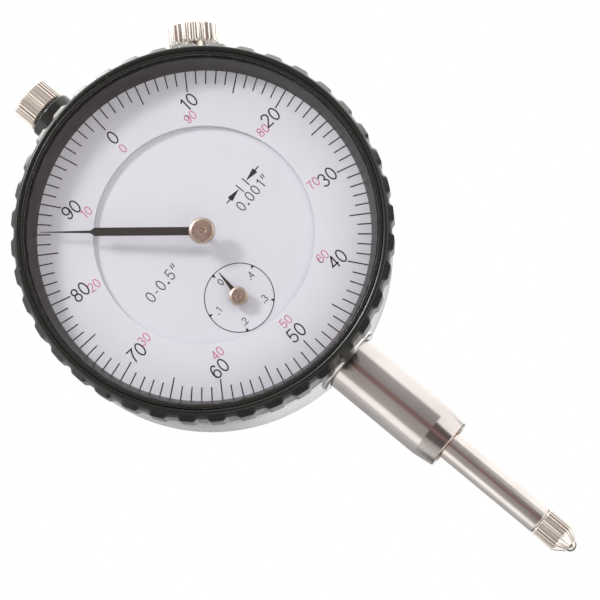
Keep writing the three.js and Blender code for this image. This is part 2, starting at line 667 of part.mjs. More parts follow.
add('case_body', caseBody(), casting);
add('lug_back_cover', lugBackCover(), casting);
coverScrewPlaces().forEach(([x, z], i) => {
  add(`back_cover_screw_${i + 1}`, slottedScrew(x, z, 1.3, 9.42, 1, 0.7, 0.65, 4), steel);
});
add('stem', stem(), satin);
add('stem_bush', stemBush(), brass);
add('upper_bush', upperBush(), black);
add('bezel_snap_ring', bezelSnapRing(), steel);
add('inner_dial', innerDial(), white);
DIAL_FEET.forEach((place, i) => add(`dial_foot_${i + 1}`, dialFoot(place), brass));

add('movement_plate', movementPlate(), brass);
ledgeScrewPlaces().forEach(([x, z], i) => {
  add(`movement_screw_${i + 1}`, slottedScrew(x, z, 1.1, PLATE[0] - 0.02, -1, 0.7, 0.6, -1.4), steel);
});
add('front_bridge', frontBridge(), brass);
PILLARS.forEach((place, i) => add(`bridge_pillar_${i + 1}`, pillar(place), brass));
PILLARS.forEach(([x, z], i) => {
  add(`bridge_screw_${i + 1}`, slottedScrew(x, z, 1.3, BRIDGE[0] - 0.02, -1, 0.7, 0.58, -5.4), steel);
});
add('rear_cock', rearCock(), brass);
COCK_LEGS.forEach(([x, z], i) => {
  add(`rear_cock_screw_${i + 1}`, slottedScrew(x, z, 1.3, COCK[1] + 0.02, 1, 0.7, 0.65, -3.8), steel);
});
add('guide_track', guideTrack(), steel);
TRACK_SCREWS.forEach(([x, z], i) => {
  add(`guide_track_screw_${i + 1}`, slottedScrew(x, z, 1.1, -1.98, 1, 0.7, 0.55, -3.9), steel);
});
add('spring_anchor_post', springAnchorPost(), steel);
add('return_spring', returnSpring(), steel);
add('hairspring', hairspring(), blued);
add('hairspring_stud', hairspringStud(), brass);

add('bezel_ring', bezelRing(), black);
add('reflector_ring', reflectorRing(), black);
add('crystal_gasket', crystalGasket(), rubber);
add('crystal', crystal(), clear);
add('crystal_retainer', crystalRetainer(), black);
add('dial_ring', dialRing(), white);

add('spindle', spindle(), satin);
add('lifting_cap', liftingCap(), nickel);
add('guide_pin', guidePin(), steel);
add('contact_point', contactPoint(), nickel);
add('contact_ball', contactBall(), steel);

add('rack_pinion_arbor', rackPinionArbor(), steel);
add('first_gear', wheel(RACK_ARBOR, TRAIN_ANGLE), brass);
add('counter_hand', counterHand(), black);
add('counter_hand_hub', counterHandHub(), nickel);

add('centre_pinion', centrePinion(), steel);
add('main_hand', mainHand(), black);
add('main_hand_hub', mainHandHub(), nickel);

add('takeup_arbor', takeupArbor(), steel);
add('takeup_gear', takeupWheel(), brass);
add('hairspring_collet', hairspringCollet(), brass);

add('clamp_tab', clampTab(), steel);
add('clamp_screw', clampScrew(), nickel);

export default indicator;
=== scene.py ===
import json
import math

import bmesh
import bpy
from mathutils import Matrix, Vector


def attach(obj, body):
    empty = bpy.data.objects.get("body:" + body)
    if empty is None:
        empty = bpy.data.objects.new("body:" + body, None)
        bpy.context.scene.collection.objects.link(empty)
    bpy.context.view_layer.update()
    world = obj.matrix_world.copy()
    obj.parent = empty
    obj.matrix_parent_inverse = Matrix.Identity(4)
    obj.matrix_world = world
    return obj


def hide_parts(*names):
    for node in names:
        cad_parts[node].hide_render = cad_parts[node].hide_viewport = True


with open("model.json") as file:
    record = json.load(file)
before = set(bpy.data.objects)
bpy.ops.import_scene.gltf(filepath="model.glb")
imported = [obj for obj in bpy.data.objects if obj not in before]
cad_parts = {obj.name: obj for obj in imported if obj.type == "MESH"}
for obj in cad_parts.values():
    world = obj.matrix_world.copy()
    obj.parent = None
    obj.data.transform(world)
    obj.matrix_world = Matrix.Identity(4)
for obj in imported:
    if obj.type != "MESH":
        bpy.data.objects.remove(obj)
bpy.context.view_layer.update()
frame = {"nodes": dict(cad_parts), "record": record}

# Lengths below are in millimetres from the centre of the dial, as in the CAD part: x to the
# reader's right, y into the case, z up the spindle. DIAL_Z lifts them into the row frame.
MM = 0.001
DIAL_Z = 38.5
SUB_DIAL = (-4.1, -10.9)
CLAMP_TURN = math.radians(45)


# ---------------------------------------------------------------- mesh helpers

def place(x, y, z):
    return Vector((x * MM, y * MM, (z + DIAL_Z) * MM))


def rounded(points, closed):
    """A profile of (r, h) or (r, h, fillet) points with each fillet drawn as an arc."""
    out = []
    n = len(points)
    for i, p in enumerate(points):
        radius = p[2] if len(p) > 2 else 0
        here = Vector(p[:2])
        if not radius or (not closed and i in (0, n - 1)):
            out.append(here)
            continue
        to_before = Vector(points[i - 1][:2]) - here
        to_after = Vector(points[(i + 1) % n][:2]) - here
        a, b = to_before.normalized(), to_after.normalized()
        half = 0.5 * math.acos(max(-1, min(1, a.dot(b))))
        reach = min(radius / math.tan(half), 0.48 * to_before.length, 0.48 * to_after.length)
        radius = reach * math.tan(half)
        centre = here + (a + b).normalized() * (radius / math.sin(half))
        first, last = here + a * reach - centre, here + b * reach - centre
        steps = max(2, math.ceil(math.degrees(math.pi - 2 * half) / 15))
        sweep = first.angle_signed(last)
        for k in range(steps + 1):
            out.append(centre + Matrix.Rotation(-sweep * k / steps, 2) @ first)
    return out


def lathe_part(bm, points, angles, axis="Y", at=(0, 0), shape=None, closed=True):
    """Turns a profile of (radius, height) about Y or Z. shape(radius, angle) may change the radius."""
    outline = rounded(points, closed)
    rings = []
    for p in outline:
        if p.x < 1e-6:
            x, y, z = (at[0], p.y, at[1]) if axis == "Y" else (0, 0, p.y)
            rings.append([bm.verts.new(place(x, y, z))])
            continue
        ring = []
        for t in angles:
            r = shape(p.x, t) if shape else p.x
            if axis == "Y":
                ring.append(bm.verts.new(place(at[0] + r * math.sin(t), p.y, at[1] + r * math.cos(t))))
            else:
                ring.append(bm.verts.new(place(r * math.cos(t), r * math.sin(t), p.y)))
        rings.append(ring)
    pairs = list(zip(rings, rings[1:] + rings[:1])) if closed else list(zip(rings, rings[1:]))
    n = len(angles)
    for one, two in pairs:
        for i in range(n):
            j = (i + 1) % n
            if len(one) == 1 and len(two) == 1:
                break
            if len(one) == 1:
                bm.faces.new((one[0], two[i], two[j]))
            elif len(two) == 1:
                bm.faces.new((one[i], one[j], two[0]))
            else:
                bm.faces.new((one[i], one[j], two[j], two[i]))


def even(n):
    return [2 * math.pi * i / n for i in range(n)]


def piece(name, bm, mat, body, replaced=(), sharp=32):
    bmesh.ops.recalc_face_normals(bm, faces=bm.faces)
    mesh = bpy.data.meshes.new(name)
    bm.to_mesh(mesh)
    bm.free()
    mesh.shade_smooth()
    mesh.set_sharp_from_angle(angle=math.radians(sharp))
    mesh.materials.append(mat)
    obj = bpy.data.objects.new(name, mesh)
    bpy.context.scene.collection.objects.link(obj)
    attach(obj, body)
    if replaced:
        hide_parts(*replaced)
    return obj


def turned(name, points, mat, body, replaced=(), axis="Y", at=(0, 0), segments=96,
           shape=None, angles=None, closed=True, turn=None, sharp=32):
    bm = bmesh.new()
    lathe_part(bm, points, angles or even(segments), axis, at, shape, closed)
    if turn:
        spin_clamp(bm, turn)
    return piece(name, bm, mat, body, replaced, sharp)


def spin_clamp(bm, angle):
    """Turns a Z part clockwise about the dial's axis, as the reader sees it."""
    centre = place(0, 0, 0)
    bmesh.ops.rotate(bm, verts=bm.verts, cent=centre, matrix=Matrix.Rotation(angle, 3, "Y"))


def knurl(ridges, outer, depth, flat=0.3):
    """Straight knurl: the radius dips between ridges wherever it is near the outer radius."""
    fade_start, fade_width = outer - 0.45, 0.3

    def shape(r, t):
        if r < fade_start:
            return r
        phase = abs(((t * ridges / (2 * math.pi)) % 1) - 0.5) * 2
        dip = max(0.0, (phase - flat) / (1 - flat))
        reach = min(1.0, (r - fade_start) / fade_width)
        return r - depth * dip * reach
    return shape


def carve(obj, cutter):
    """Subtracts cutter, a bmesh in the row frame, from obj and keeps the result as its mesh."""
    bmesh.ops.recalc_face_normals(cutter, faces=cutter.faces)
    mesh = bpy.data.meshes.new("cutter")
    cutter.to_mesh(mesh)
    cutter.free()
    tool = bpy.data.objects.new("cutter", mesh)
    bpy.context.scene.collection.objects.link(tool)
    mod = obj.modifiers.new("carve", "BOOLEAN")
    mod.operation, mod.solver, mod.object = "DIFFERENCE", "EXACT", tool
    bpy.context.view_layer.update()
    done = bpy.data.meshes.new_from_object(obj.evaluated_get(bpy.context.evaluated_depsgraph_get()))
    obj.modifiers.remove(mod)
    bpy.data.objects.remove(tool)
    obj.data = done
    done.shade_smooth()
    done.set_sharp_from_angle(angle=math.radians(32))


def block(bm, x, y, z):
    low, high = place(x[0], y[0], z[0]), place(x[1], y[1], z[1])
    scale = Matrix.Diagonal(high - low).to_4x4()
    bmesh.ops.create_cube(bm, size=1, matrix=Matrix.Translation((low + high) / 2) @ scale)


# ---------------------------------------------------------------- materials

GRAIN_DEPTH = 0.00002


def rgb(r, g, b):
    """Display colour 0-255 to linear."""
    def lin(c):
        c /= 255
        return c / 12.92 if c <= 0.04045 else ((c + 0.055) / 1.055) ** 2.4
    return lin(r), lin(g), lin(b), 1


def finish(name, light, dark, metallic=0.0, rough=(0.3, 0.4), blotch=90, grain=(900, 900, 900), bump=0.1,
           specks=None, spec=0.5):
    """Surface with patchy colour, uneven roughness and a fine grain that is stretched by grain per axis."""
    mat = bpy.data.materials.new(name)
    mat.use_nodes = True
    nodes, links = mat.node_tree.nodes, mat.node_tree.links
    shader = nodes["Principled BSDF"]
    shader.inputs["Metallic"].default_value = metallic
    shader.inputs["IOR"].default_value = 1.5
    shader.inputs["Specular IOR Level"].default_value = spec
    coords = nodes.new("ShaderNodeTexCoord").outputs["Object"]

    patches = nodes.new("ShaderNodeTexNoise")
    patches.inputs["Scale"].default_value = blotch
    patches.inputs["Detail"].default_value = 4
    links.new(coords, patches.inputs["Vector"])
    colours = nodes.new("ShaderNodeValToRGB")
    colours.color_ramp.elements[0].position, colours.color_ramp.elements[0].color = 0.32, dark
    colours.color_ramp.elements[1].position, colours.color_ramp.elements[1].color = 0.68, light
    links.new(patches.outputs["Fac"], colours.inputs["Fac"])
    colour = colours.outputs["Color"]

    stretch = nodes.new("ShaderNodeMapping")
    stretch.inputs["Scale"].default_value = grain
    links.new(coords, stretch.inputs["Vector"])
    fine = nodes.new("ShaderNodeTexNoise")
    fine.inputs["Scale"].default_value = 1
    fine.inputs["Detail"].default_value = 3
    links.new(stretch.outputs["Vector"], fine.inputs["Vector"])
    uneven = nodes.new("ShaderNodeMapRange")
    uneven.inputs["From Min"].default_value = 0.3
    uneven.inputs["From Max"].default_value = 0.7
    uneven.inputs["To Min"].default_value = rough[0]
    uneven.inputs["To Max"].default_value = rough[1]
    links.new(fine.outputs["Fac"], uneven.inputs["Value"])
    roughness = uneven.outputs["Result"]

    if specks:
        per_metre, size, strength = specks
        dust = nodes.new("ShaderNodeTexVoronoi")
        dust.inputs["Scale"].default_value = per_metre
        links.new(coords, dust.inputs["Vector"])
        mask = nodes.new("ShaderNodeMapRange")
        mask.inputs["From Min"].default_value = size * 1.5
        mask.inputs["From Max"].default_value = size
        mask.inputs["To Max"].default_value = strength
        links.new(dust.outputs["Distance"], mask.inputs["Value"])
        mix = nodes.new("ShaderNodeMix")
        mix.data_type = "RGBA"
        mix.inputs["B"].default_value = rgb(190, 190, 188)
        links.new(mask.outputs["Result"], mix.inputs["Factor"])
        links.new(colour, mix.inputs["A"])
        colour = mix.outputs["Result"]

    relief = nodes.new("ShaderNodeBump")
    relief.inputs["Strength"].default_value = bump
    relief.inputs["Distance"].default_value = GRAIN_DEPTH
    links.new(fine.outputs["Fac"], relief.inputs["Height"])
    links.new(colour, shader.inputs["Base Color"])
    links.new(roughness, shader.inputs["Roughness"])
    links.new(relief.outputs["Normal"], shader.inputs["Normal"])
    return mat


def clear_plastic():
    """Crystal: passes light straight through and reflects more at grazing angles, the same from both
    sides of each face, with faint polishing marks."""
    mat = bpy.data.materials.new("crystal_acrylic")
    mat.use_nodes = True
    nodes, links = mat.node_tree.nodes, mat.node_tree.links
    nodes.remove(nodes["Principled BSDF"])
    coords = nodes.new("ShaderNodeTexCoord").outputs["Object"]
    marks = nodes.new("ShaderNodeTexNoise")
    marks.inputs["Scale"].default_value = 60
    marks.inputs["Detail"].default_value = 3
    links.new(coords, marks.inputs["Vector"])
    haze = nodes.new("ShaderNodeMapRange")
    haze.inputs["To Min"].default_value = 0.0
    haze.inputs["To Max"].default_value = 0.09
    links.new(marks.outputs["Fac"], haze.inputs["Value"])
    through = nodes.new("ShaderNodeBsdfTransparent")
    through.inputs["Color"].default_value = (0.985, 0.985, 0.99, 1)
    gloss = nodes.new("ShaderNodeBsdfGlossy")
    links.new(haze.outputs["Result"], gloss.inputs["Roughness"])
    facing = nodes.new("ShaderNodeLayerWeight")
    facing.inputs["Blend"].default_value = 0.5
    steep = nodes.new("ShaderNodeMath")
    steep.operation = "POWER"
    steep.inputs[1].default_value = 5
    links.new(facing.outputs["Facing"], steep.inputs[0])
    mirror = nodes.new("ShaderNodeMapRange")
    mirror.inputs["To Min"].default_value = 0.036
    links.new(steep.outputs["Value"], mirror.inputs["Value"])
    mix = nodes.new("ShaderNodeMixShader")
    links.new(mirror.outputs["Result"], mix.inputs["Fac"])
    links.new(through.outputs["BSDF"], mix.inputs[1])
    links.new(gloss.outputs["BSDF"], mix.inputs[2])
    links.new(mix.outputs["Shader"], nodes["Material Output"].inputs["Surface"])
    return mat


TURNED = (300, 300, 9000)
black_paint = finish("bezel_black_gloss", rgb(26, 27, 24), rgb(19, 20, 18), rough=(0.24, 0.32), blotch=60,
                     grain=(1500, 1500, 1500), bump=0.05, specks=(700, 0.035, 0.5))
black_wall = finish("reflector_black", rgb(42, 42, 39), rgb(34, 34, 31), rough=(0.3, 0.4), blotch=80,
                    grain=(1200, 1200, 1200), bump=0.08, specks=(420, 0.03, 0.4))
black_collar = finish("collar_black", rgb(34, 35, 34), rgb(26, 27, 26), rough=(0.12, 0.2), blotch=80,
                      grain=(1200, 1200, 1200), bump=0.04)
black_hand = finish("hand_black", rgb(30, 29, 29), rgb(22, 21, 21), rough=(0.45, 0.55), blotch=300,
                    grain=(2500, 2500, 2500), bump=0.12)
brown_hand = finish("counter_hand_black", rgb(52, 42, 38), rgb(38, 31, 29), rough=(0.4, 0.5), blotch=300,
                    grain=(2500, 2500, 2500), bump=0.12)
dial_paint = finish("dial_white_enamel", rgb(217, 218, 223), rgb(213, 214, 220), rough=(0.4, 0.5), blotch=40,
                    grain=(2600, 2600, 2600), bump=0.05, spec=0.35)
ink_black = finish("ink_black", rgb(40, 38, 42), rgb(30, 29, 32), rough=(0.5, 0.6), blotch=600,
                   grain=(4000, 4000, 4000), bump=0.08, spec=0.3)
ink_red = finish("ink_red", rgb(205, 105, 150), rgb(196, 92, 138), rough=(0.5, 0.6), blotch=600,
                 grain=(4000, 4000, 4000), bump=0.08, spec=0.3)
satin_steel = finish("satin_steel", rgb(212, 206, 203), rgb(198, 191, 188), 1.0, rough=(0.14, 0.21),
                     blotch=120, grain=TURNED, bump=0.03)
polished_steel = finish("polished_steel", rgb(222, 216, 212), rgb(208, 201, 197), 1.0, rough=(0.14, 0.22),
                        blotch=150, grain=TURNED, bump=0.04)
nickel = finish("nickel_plate", rgb(242, 236, 229), rgb(230, 223, 213), 1.0, rough=(0.17, 0.26), blotch=400,
                grain=(1800, 1800, 1800), bump=0.02)
# Painted light: a lighter copy of the nickel plate, brightened to the lit brightness of a knob. The plating
# itself is the same as nickel_plate.
nickel_painted_lighter = finish("nickel_plate_painted_lighter", rgb(248, 242, 233), rgb(236, 228, 217), 1.0, rough=(0.18, 0.27),
                    blotch=400, grain=(1800, 1800, 1800), bump=0.02)
hub_nickel = finish("hub_nickel", rgb(224, 208, 192), rgb(204, 187, 170), 1.0, rough=(0.26, 0.36), blotch=500,
                    grain=(2400, 2400, 2400), bump=0.04)
screw_steel = finish("screw_steel", rgb(178, 178, 180), rgb(150, 150, 152), 1.0, rough=(0.25, 0.36),
                     blotch=300, grain=(2000, 2000, 2000), bump=0.2)
case_chrome = finish("case_satin_chrome", rgb(226, 225, 224), rgb(212, 211, 210), 1.0, rough=(0.2, 0.3),
                     blotch=70, grain=(1400, 1400, 1400), bump=0.06)
brass = finish("brass_clean", rgb(214, 178, 104), rgb(190, 150, 78), 1.0, rough=(0.26, 0.38), blotch=160,
               grain=(3000, 600, 600), bump=0.16)
bush_bronze = finish("bush_bronze", rgb(196, 150, 104), rgb(160, 112, 76), 1.0, rough=(0.3, 0.42), blotch=260,
                     grain=TURNED, bump=0.2)
blued = finish("blued_spring", rgb(58, 68, 108), rgb(38, 42, 70), 1.0, rough=(0.2, 0.3), blotch=500,
               grain=(2000, 2000, 2000), bump=0.1)
rubber = finish("gasket_rubber", rgb(34, 34, 34), rgb(24, 24, 24), rough=(0.7, 0.85), blotch=300,
                grain=(2500, 2500, 2500), bump=0.25)
acrylic = clear_plastic()


# ---------------------------------------------------------------- bezel, crystal, dial ring

BUMPS = 40
BUMP_STEP = 2 * math.pi / BUMPS
# Half width of a bump's top and the width of its slope, as shares of the step.
BUMP_HALF, BUMP_SLOPE = 0.2, 0.17
SMOOTH_R = 29.8
HOLLOW_SHARE = 0.56
BUMP_LINES = [-0.42, -0.37, -0.33, -0.285, -0.24, -0.2, -0.1, 0.0,
              0.1, 0.2, 0.24, 0.285, 0.33, 0.37, 0.42, 0.5]


def bump_shape(r, t):
    """Wide low bumps with soft slopes. The hollow only lowers what stands proud of the smooth ring."""
    phase = abs(((t / BUMP_STEP + 0.5) % 1) - 0.5)
    fall = max(0.0, min(1.0, (phase - BUMP_HALF) / BUMP_SLOPE))
    fall = fall * fall * (3 - 2 * fall)
    return r - max(0.0, r - SMOOTH_R) * fall * HOLLOW_SHARE


bump_angles = [BUMP_STEP * (k + line) for k in range(BUMPS) for line in BUMP_LINES]
turned("bezel_ring_body", [
    (26.35, -6.9, 0.1), (28.4, -6.9, 0.25), (28.4, -9.3), (29.4, -9.4, 0.1), (29.9, -9.5, 0.1),
    (30.6, -9.8, 0.35), (30.6, -12.4), (30.6, -14.8, 0.4), (29.9, -16.15, 0.15), (29.65, -16.7, 0.3),
    (29.3, -16.85, 0.5), (28.92, -16.72, 0.12), (28.84, -16.5), (28.84, -11.4), (27.1, -11.4),
    (27.1, -10.9), (25.4, -10.9), (25.4, -10.1), (26.75, -10.1), (26.75, -7.7),
], black_paint, "bezel", ["bezel_ring"], angles=bump_angles, shape=bump_shape)

turned("reflector_ring_body", [
    (26.85, -11.4), (28.62, -11.4), (28.62, -15.2), (28.15, -15.2), (27.75, -14.3), (27.35, -13.2),
    (27.02, -12.2),
], black_wall, "bezel", ["reflector_ring"], segments=180)

turned("crystal_retainer_ring", [
    (28.2, -16.8, 0.14), (28.78, -16.8, 0.16), (28.78, -16.3), (28.2, -16.3),
], black_paint, "bezel", ["crystal_retainer"], segments=180)

turned("crystal_lens", [
    (0, -16.3), (28.6, -16.3, 0.1), (28.6, -15.5, 0.1), (0, -15.5),
], acrylic, "bezel", ["crystal"], segments=128, closed=False)

turned("dial_ring_face", [
    (17.8, -11.4, 0.03), (27, -11.4, 0.04), (27, -10.92), (25.2, -10.9), (25.2, -10.62), (17.8, -10.62),
], dial_paint, "bezel", ["dial_ring"], segments=180)

face = turned("inner_dial_face", [
    (0.8, -10.55), (18.2, -10.55, 0.04), (18.2, -10.16), (0.8, -10.16),
], dial_paint, "case", ["inner_dial"], segments=128)
arbor_hole = bmesh.new()
lathe_part(arbor_hole, [(0, -11), (0.8, -11), (0.8, -9.8), (0, -9.8)], even(32), at=SUB_DIAL, closed=False)
carve(face, arbor_hole)


# ---------------------------------------------------------------- dial print

def arc(cx, cy, rx, ry, a0, a1, n=14):
    return [(cx + rx * math.cos(math.radians(a0 + (a1 - a0) * i / n)),
             cy + ry * math.sin(math.radians(a0 + (a1 - a0) * i / n))) for i in range(n + 1)]


def six():
    back = [(.50, .77), (.44, .91), (.30, .97), (.14, .86), (.05, .62), (.03, .40), (.06, .18), (.16, .06),
            (.29, .02)]
    return [back, arc(.29, .31, .23, .29, 0, 360, 20)]


# Stroke centrelines of each character in a box one unit high.
GLYPHS = {
    "0": [arc(.28, .5, .25, .48, 0, 360, 24)],
    "1": [[(.10, .80), (.22, .86), (.34, 1)], [(.34, 1.0), (.34, 0)]],
    "2": [arc(.28, .72, .24, .26, 170, -35) + [(.03, .03), (.55, .03)]],
    "3": [arc(.27, .74, .21, .24, 160, -90), arc(.27, .26, .24, .24, 90, -165)],
    "4": [[(.42, 1), (.02, .30), (.56, .30)], [(.42, 1), (.42, 0)]],
    "5": [[(.50, .97), (.13, .97), (.06, .50)] + arc(.27, .31, .25, .29, 130, -160)],
    "6": six(),
    "7": [[(.03, .96), (.53, .96), (.36, .70), (.25, .40), (.20, 0)]],
    "8": [arc(.28, .75, .20, .22, 0, 360, 20), arc(.28, .27, .24, .26, 0, 360, 20)],
    "9": [[(.56 - x, 1 - y) for x, y in line] for line in six()],
    ".": [],
    "-": [[(.02, .38), (.28, .38)]],
    '"': [[(.02, .62), (.13, 1.04)], [(.24, .62), (.35, 1.04)]],
}
ADVANCE = {".": .18, "-": .3, '"': .36, "1": .46}


class Print:
    """Ink laid on a face of the dial as very thin raised strips."""

    def __init__(self, face):
        self.bm = bmesh.new()
        self.front, self.back = face - 0.022, face + 0.01

    def solid(self, loop):
        front = [self.bm.verts.new(place(x, self.front, z)) for x, z in loop]
        back = [self.bm.verts.new(place(x, self.back, z)) for x, z in loop]
        n = len(loop)
        self.bm.faces.new(front)
        self.bm.faces.new(back[::-1])
        for i in range(n):
            j = (i + 1) % n
            self.bm.faces.new((front[j], front[i], back[i], back[j]))

    def dot(self, x, z, size):
        self.solid([(x - size / 2, z - size / 2), (x - size / 2, z + size / 2), (x + size / 2, z + size / 2),
                    (x + size / 2, z - size / 2)])

    def stroke(self, line, width):
        pts = [Vector(p) for p in line]
        loop = (pts[0] - pts[-1]).length < 1e-6
        if loop:
            pts = pts[:-1]
        n = len(pts)
        sides = []
        for i, p in enumerate(pts):
            ahead = pts[(i + 1) % n] - p if loop or i < n - 1 else p - pts[i - 1]
            behind = p - pts[i - 1] if loop or i else ahead
            a, b = ahead.normalized(), behind.normalized()
            mid = (a + b).normalized()
            normal = Vector((-mid.y, mid.x)) * (width / 2 / max(0.5, mid.dot(a)))
            sides.append((p + normal, p - normal))
        # One closed strip per stroke, with walls only along its edges and, if it is open, at its ends.
        corners = [[self.bm.verts.new(place(q.x, y, q.y)) for y in (self.front, self.back) for q in side]
                   for side in sides]
        rim = ((0, 1), (1, 3), (3, 2), (2, 0))
        for i in range(n if loop else n - 1):
            one, two = corners[i], corners[(i + 1) % n]
            for a, b in rim:
                self.bm.faces.new((one[a], one[b], two[b], two[a]))
        if not loop:
            for end in (corners[0], corners[-1]):
                self.bm.faces.new([end[a] for a, _ in rim])

    def circle(self, cx, cz, r, width, n=72):
        self.stroke([(cx + r * math.sin(t), cz + r * math.cos(t)) for t in even(n)] + [(cx, cz + r)], width)

    def text(self, words, centre, height, weight, turn=0.0, gap=0.14):
        """Characters centred on a point, with their up turned clockwise by turn."""
        across = Vector((math.cos(turn), -math.sin(turn)))
        up = Vector((math.sin(turn), math.cos(turn)))
        widths = [ADVANCE.get(c, .56) + gap for c in words]
        total = sum(widths) - gap
        x = -total / 2
        for c, w in zip(words, widths):
            for line in GLYPHS[c]:
                moved = [Vector(centre) + (across * (x + px) + up * (py - 0.5)) * height for px, py in line]
                self.stroke([tuple(p) for p in moved], weight)
            if c == ".":
                spot = Vector(centre) + (across * (x + 0.09) + up * (0.09 - 0.5)) * height
                self.dot(*spot, 0.18 * height)
            x += w


# How far the graduated ring is turned from upright, and the y of the faces that carry the print.
ZERO = math.radians(7.0)
RING_FACE, INNER_FACE = -11.4, -10.55
LONG_MARK, SHORT_MARK, MARK_END = 23.5, 24.65, 26.98
scale = Print(RING_FACE)
red_scale = Print(RING_FACE)
for k in range(100):
    turn = ZERO + math.radians(3.6 * k)
    inner = LONG_MARK if k % 5 == 0 else SHORT_MARK
    out = Vector((math.sin(turn), math.cos(turn)))
    scale.stroke([tuple(out * inner), tuple(out * MARK_END)], 0.2)
for k in range(10):
    turn = ZERO + math.radians(36 * k)
    out = Vector((math.sin(turn), math.cos(turn)))
    scale.text(str(10 * k), out * 21.8, 2.25, 0.235, ZERO)
    red_scale.text(str((100 - 10 * k) % 100), out * 19.35, 1.5, 0.15, ZERO)
piece("scale_print_black", scale.bm, ink_black, "bezel", sharp=20)
piece("scale_print_red", red_scale.bm, ink_red, "bezel", sharp=20)

centre_print = Print(INNER_FACE)
centre_print.text('0.001"', (10.25, -1.5), 1.72, 0.17, gap=0.24)
centre_print.text('0-0.5"', (-10.2, 0.1), 1.85, 0.17, gap=0.24)
# Two bars with an arrow pressing on each from outside: the size of one graduation.
for side in (-1, 1):
    bar = 10.2 + side * 0.72
    centre_print.stroke([(bar, -0.3), (bar, 1.4)], 0.18)
    tip = bar + side * 0.14
    centre_print.solid([(tip, 0.6), (tip + side * 2.25, 1.1), (tip + side * 2.25, 0.1)][::-side])
    centre_print.stroke([(tip + side * 2.2, 0.6), (tip + side * 3.1, 0.6)], 0.2)
centre_print.circle(*SUB_DIAL, 5.6, 0.14)
LABELS = {0: ("0", 0), 1: (".1", 72), 2: (".2", 142), 3: (".3", 217), 4: (".4", 284)}
for k, (words, spot) in LABELS.items():
    turn = -math.radians(72 * k)
    out = Vector((math.sin(turn), math.cos(turn)))
    side = Vector((out.y, -out.x))
    hub = Vector(SUB_DIAL)
    base, tip = hub + out * 5.62, hub + out * 4.95
    centre_print.solid([tuple(base + side * 0.29), tuple(base - side * 0.29), tuple(tip)])
    at = -math.radians(spot)
    centre_print.text(words, hub + Vector((math.sin(at), math.cos(at))) * 3.95, 1.15, 0.13)
piece("centre_print", centre_print.bm, ink_black, "case", sharp=20)


# ---------------------------------------------------------------- hubs of the hands

turned("main_hand_hub_cap", [
    (0, -14.8), (0.34, -14.8), (0.56, -15.15, 0.04), (1.66, -15.15, 0.1), (2.03, -14.98, 0.08),
    (2.125, -14.86, 0.05), (2.125, -14.4, 0.05), (0.94, -14.4), (0.94, -13.2), (0.55, -13.2), (0.55, -14.7),
    (0, -14.7),
], hub_nickel, "centre_arbor", ["main_hand_hub"], segments=64, closed=False)
turned("counter_hand_hub_cap", [
    (0, -12.36), (0.28, -12.36), (0.46, -12.6, 0.04), (1.15, -12.6, 0.08), (1.45, -12.46, 0.06),
    (1.525, -12.36, 0.04), (1.525, -11.96, 0.04), (0.84, -11.96), (0.84, -11.2), (0.55, -11.2), (0.55, -12.3),
    (0, -12.3),
], hub_nickel, "rack_pinion", ["counter_hand_hub"], at=SUB_DIAL, segments=64, closed=False)
# The rounded ends of the arbors, in the dimples of the hubs.
turned("main_arbor_end", [
    (0, -15.02), (0.16, -14.99), (0.25, -14.9, 0.04), (0.25, -14.8), (0, -14.8),
], hub_nickel, "centre_arbor", segments=32, closed=False)
turned("counter_arbor_end", [
    (0, -12.54), (0.13, -12.51), (0.2, -12.44, 0.03), (0.2, -12.36), (0, -12.36),
], hub_nickel, "rack_pinion", at=SUB_DIAL, segments=32, closed=False)


# ---------------------------------------------------------------- case and lug back

bm = bmesh.new()
lathe_part(bm, [
    (25, -9.7), (26.3, -9.7, 0.15), (26.3, -8.65), (25.95, -8.65), (25.95, -7.85), (26.3, -7.85),
    (26.3, -6.6), (29.8, -6.6, 0.5), (29.8, 7.5, 1.0), (28.6, 8, 0.2), (24.9, 8), (24.9, -1.2),
    (22.8, -1.2), (22.8, -3), (25, -3),
], even(180))
shell = piece("case_shell", bm, case_chrome, "case", ["case_body"])
pocket = bmesh.new()
block(pocket, (-3.6, 3.6), (-7, 3.6), (28.35, 31))
spin_clamp(pocket, CLAMP_TURN)
carve(shell, pocket)
# Bores for the stem, the upper bush and the clamp screw.
STEM_BORE, BUSH_BORE, CLAMP_BORE = 4.8425, 4.13, 1.4
for radius, low_end, high_end, spin in ((STEM_BORE, -31, -21, 0), (BUSH_BORE, 21, 31, 0),
                                        (CLAMP_BORE, 20, 31, CLAMP_TURN)):
    bore = bmesh.new()
    lathe_part(bore, [(0, low_end), (radius, low_end), (radius, high_end), (0, high_end)], even(72), "Z",
               closed=False)
    spin_clamp(bore, spin)
    carve(shell, bore)
for name, points in (("stem_boss", [(STEM_BORE, -30), (6, -30, 0.4), (6, -28), (STEM_BORE, -28)]),
                     ("bush_boss", [(BUSH_BORE, 28), (5.6, 28), (5.6, 30.55, 0.3), (BUSH_BORE, 30.55)])):
    turned(name, points, case_chrome, "case", axis="Z", segments=72)

LUG_Y, LUG_R, LUG_HALF, HOLE_R = 17.4, 7.9, 3.175, 3.175
bm = bmesh.new()
lathe_part(bm, [
    (0, 8), (27.9, 8), (28.4, 8.4, 0.2), (28.4, 9, 0.25), (28, 9.4, 0.2), (0, 9.4),
], even(144), closed=False)


def lug_edge(t, inset):
    """Point of the ear's outline in the direction t from the hole, with its outline drawn in by inset."""
    y, z = math.cos(t), math.sin(t)
    if y >= 0:
        return LUG_Y + (LUG_R - inset) * y, (LUG_R - inset) * z
    reach = (LUG_R - inset) / abs(z) if abs(z) > 1e-9 else 1e9
    reach = min(reach, (LUG_Y - 9.1) / abs(y))
    return LUG_Y + reach * y, reach * z


